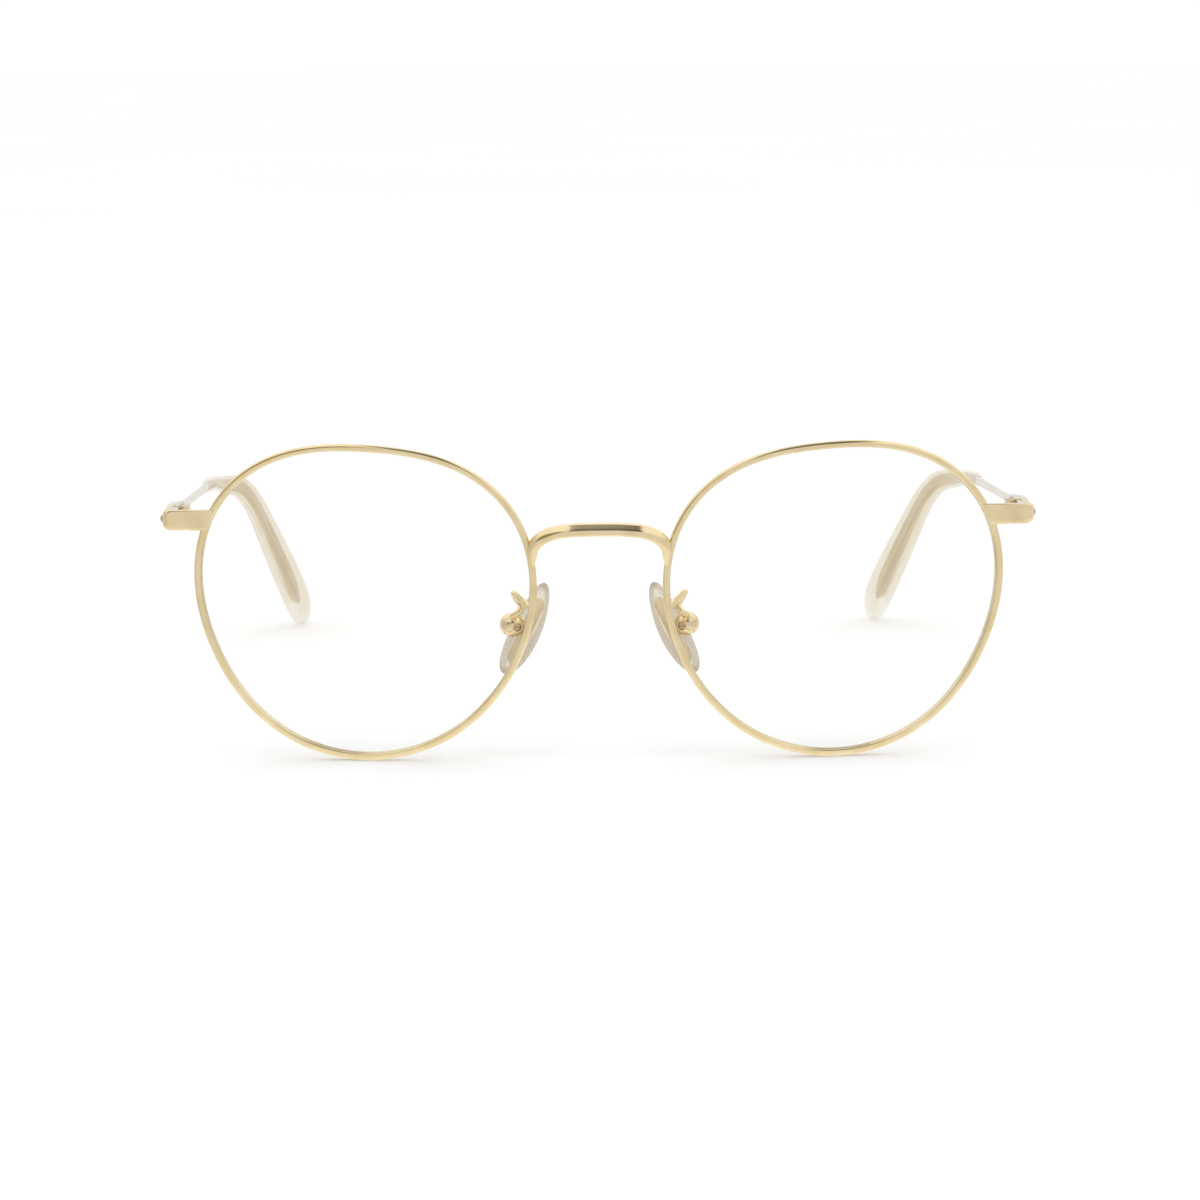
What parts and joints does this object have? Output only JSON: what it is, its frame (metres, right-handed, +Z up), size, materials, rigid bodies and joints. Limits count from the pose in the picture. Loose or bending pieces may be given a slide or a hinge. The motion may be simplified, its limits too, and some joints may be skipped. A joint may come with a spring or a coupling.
{
  "type": "eyeglasses",
  "caption": "Round thin metal spectacles with clear lenses, adjustable nose pads, folding temples and clear plastic temple tips.",
  "frame": {"origin": "middle of the bounding box in plan, at the level that the rims and tips stand on", "axes": "+X to the wearer's left, +Y from the front to the temple tips, +Z up"},
  "size_m": [0.1326, 0.1414, 0.0482],
  "materials": {
    "gold_metal": "polished pale gold plating",
    "screw_metal": "polished, slotted heads slightly darker",
    "tip_acetate": "clear champagne, polished",
    "pad_silicone": "clear champagne, soft gloss",
    "lens_glass": "clear, coated, polished"
  },
  "bodies": {
    "front": {"bridge": "gold_metal", "left_eyewire": "gold_metal", "right_eyewire": "gold_metal", "left_lens": "lens_glass", "right_lens": "lens_glass", "left_end_piece": "gold_metal", "right_end_piece": "gold_metal", "left_closing_block_upper": "gold_metal", "right_closing_block_upper": "gold_metal", "left_closing_block_lower": "gold_metal", "right_closing_block_lower": "gold_metal", "left_rim_screw": "screw_metal", "right_rim_screw": "screw_metal", "left_hinge_front_leaf": "gold_metal", "right_hinge_front_leaf": "gold_metal", "left_hinge_screw": "screw_metal", "right_hinge_screw": "screw_metal", "left_hinge_rivet": "screw_metal", "right_hinge_rivet": "screw_metal", "left_pad_arm": "gold_metal", "right_pad_arm": "gold_metal", "left_pad_cup": "gold_metal", "right_pad_cup": "gold_metal", "left_pad_screw": "screw_metal", "right_pad_screw": "screw_metal"},
    "left_temple": {"left_temple_arm": "gold_metal", "left_temple_tip": "tip_acetate", "left_hinge_temple_leaf": "gold_metal"},
    "left_pad": {"left_nose_pad": "pad_silicone", "left_pad_insert": "gold_metal"},
    "right_temple": {"right_temple_arm": "gold_metal", "right_temple_tip": "tip_acetate", "right_hinge_temple_leaf": "gold_metal"},
    "right_pad": {"right_nose_pad": "pad_silicone", "right_pad_insert": "gold_metal"}
  },
  "joints": [
    {"name": "left_temple_fold", "type": "hinge", "parent": "front", "child": "left_temple", "pos_m": [0.06335, -0.05693, 0.0366], "axis": [0, 0, 1], "range_deg": [0, 88]},
    {"name": "right_temple_fold", "type": "hinge", "parent": "front", "child": "right_temple", "pos_m": [-0.06335, -0.05693, 0.0366], "axis": [0, 0, -1], "range_deg": [0, 85]},
    {"name": "left_pad_rock", "type": "hinge", "parent": "front", "child": "left_pad", "pos_m": [0.0133, -0.06293, 0.01997], "axis": [-0.4855, -0.8685, -0.1002], "range_deg": [-8, 8]},
    {"name": "right_pad_rock", "type": "hinge", "parent": "front", "child": "right_pad", "pos_m": [-0.0133, -0.06293, 0.01997], "axis": [0.4855, -0.8685, -0.1002], "range_deg": [-8, 8]}
  ]
}
